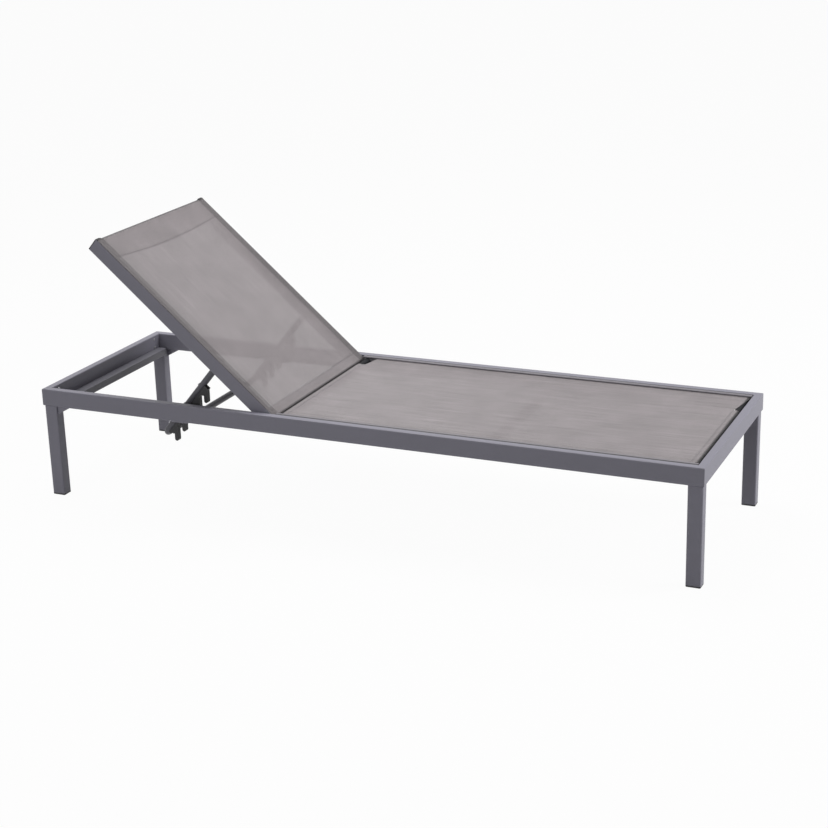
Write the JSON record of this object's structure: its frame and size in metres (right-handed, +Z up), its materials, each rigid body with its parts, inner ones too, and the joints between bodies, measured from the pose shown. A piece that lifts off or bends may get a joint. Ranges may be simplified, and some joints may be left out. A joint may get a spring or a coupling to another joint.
{
  "type": "reclining sun lounger",
  "caption": "Low reclining garden lounger: flat sling seat in a deep rectangular frame on legs, raised sling backrest on a notched U-shaped prop.",
  "frame": {"origin": "on the floor, under the middle of the main frame", "axes": "+X to the foot end, +Y to the left of a person lying on it, +Z up"},
  "size_m": [1.95, 0.63, 0.7761],
  "materials": {
    "powder_coat": "satin powder coat",
    "mesh_fabric": "woven coated mesh",
    "black_plastic": "moulded, matte",
    "aluminium": "mill",
    "steel": "zinc plated",
    "nylon": "extruded"
  },
  "bodies": {
    "frame": {"catch_bracket_left": "powder_coat", "catch_bracket_right": "powder_coat", "catch_pin_left": "steel", "catch_pin_right": "steel", "catch_screws": "steel", "corner_key_foot_left": "aluminium", "corner_key_foot_right": "aluminium", "corner_key_head_left": "aluminium", "corner_key_head_right": "aluminium", "corner_key_screws": "steel", "foot_cap_foot_left": "black_plastic", "foot_cap_foot_right": "black_plastic", "foot_cap_head_left": "black_plastic", "foot_cap_head_right": "black_plastic", "foot_rail": "powder_coat", "head_rail": "powder_coat", "hinge_pin_left": "steel", "hinge_pin_right": "steel", "leg_bolts": "steel", "leg_foot_left": "powder_coat", "leg_foot_right": "powder_coat", "leg_head_left": "powder_coat", "leg_head_right": "powder_coat", "rest_bar": "powder_coat", "seat_brace": "powder_coat", "seat_foot_bar": "powder_coat", "seat_hinge_bar": "powder_coat", "seat_rail_left": "powder_coat", "seat_rail_right": "powder_coat", "seat_rail_screws": "steel", "seat_sling": "mesh_fabric", "seat_spline_left": "nylon", "seat_spline_right": "nylon", "side_rail_left": "powder_coat", "side_rail_right": "powder_coat"},
    "backrest": {"back_rail_left": "powder_coat", "back_rail_right": "powder_coat", "hinge_block_left": "black_plastic", "hinge_block_right": "black_plastic", "hinge_bush_left": "black_plastic", "hinge_bush_right": "black_plastic", "back_rail_cap_left": "black_plastic", "back_rail_cap_right": "black_plastic", "back_bottom_bar": "powder_coat", "back_top_bar": "powder_coat", "back_sling": "mesh_fabric", "back_spline_left": "nylon", "back_spline_right": "nylon", "prop_pivot_bolt_left": "steel", "prop_pivot_bolt_right": "steel", "prop_spacer_left": "black_plastic", "prop_spacer_right": "black_plastic"},
    "prop": {"prop_frame": "powder_coat", "prop_end_caps": "black_plastic", "rack_left": "black_plastic", "rack_right": "black_plastic", "rack_screws": "steel"}
  },
  "joints": [
    {"name": "recline", "type": "hinge", "parent": "frame", "child": "backrest", "pos_m": [-0.251, 0, 0.304], "axis": [0, 1, 0], "range_deg": [-41, 24]},
    {"name": "prop_swing", "type": "hinge", "parent": "backrest", "child": "prop", "pos_m": [-0.41428, 0, 0.43931], "axis": [0, -1, 0], "range_deg": [-71, 42]}
  ],
  "couplings": [
    {"joint": "prop_swing", "follows": "recline", "ratio": 1.73}
  ]
}
